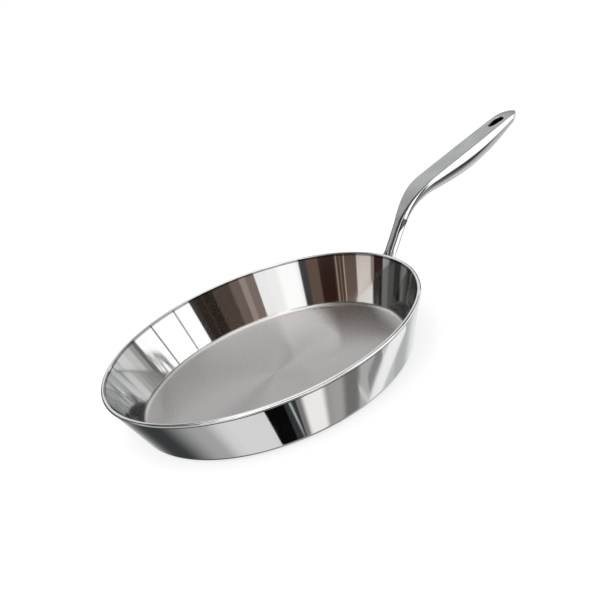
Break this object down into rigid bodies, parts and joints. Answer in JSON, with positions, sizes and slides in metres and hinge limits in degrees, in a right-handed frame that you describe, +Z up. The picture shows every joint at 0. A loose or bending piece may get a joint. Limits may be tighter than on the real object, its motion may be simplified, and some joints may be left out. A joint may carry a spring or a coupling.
{
  "type": "omelette pan",
  "caption": "Round omelette pan with flared sides, a clad steel and aluminium body, a rolled rim bead and a hollow welded steel handle with a hanging hole.",
  "frame": {"origin": "centre of the flat underside of the base, on the surface the pan stands on", "axes": "+Z up out of the pan, +X from the pan's axis along the handle, +Y to the left of the handle; the pan is alike on both sides of the XZ plane"},
  "size_m": [0.3975, 0.24, 0.0949],
  "materials": {
    "lining_steel": "stainless steel: mirror-polished flared wall and rim bead, satin floor with a fine circular grain",
    "core_aluminium": "plain rolled aluminium, sealed in by the two steels",
    "skin_steel": "magnetic stainless steel, mirror-polished",
    "satin_handle_steel": "stainless steel with a fine satin brush along the grip",
    "polished_handle_steel": "stainless steel, mirror-polished",
    "weld_steel": "stainless weld metal, buffed smooth"
  },
  "bodies": {
    "root": {"inner_liner": "lining_steel", "aluminium_core": "core_aluminium", "outer_skin": "skin_steel", "grip_top_plate": "satin_handle_steel", "grip_belly": "polished_handle_steel", "hanging_eyelet": "polished_handle_steel", "forked_neck": "polished_handle_steel", "foot_weld_left": "weld_steel", "foot_weld_right": "weld_steel"}
  },
  "joints": []
}
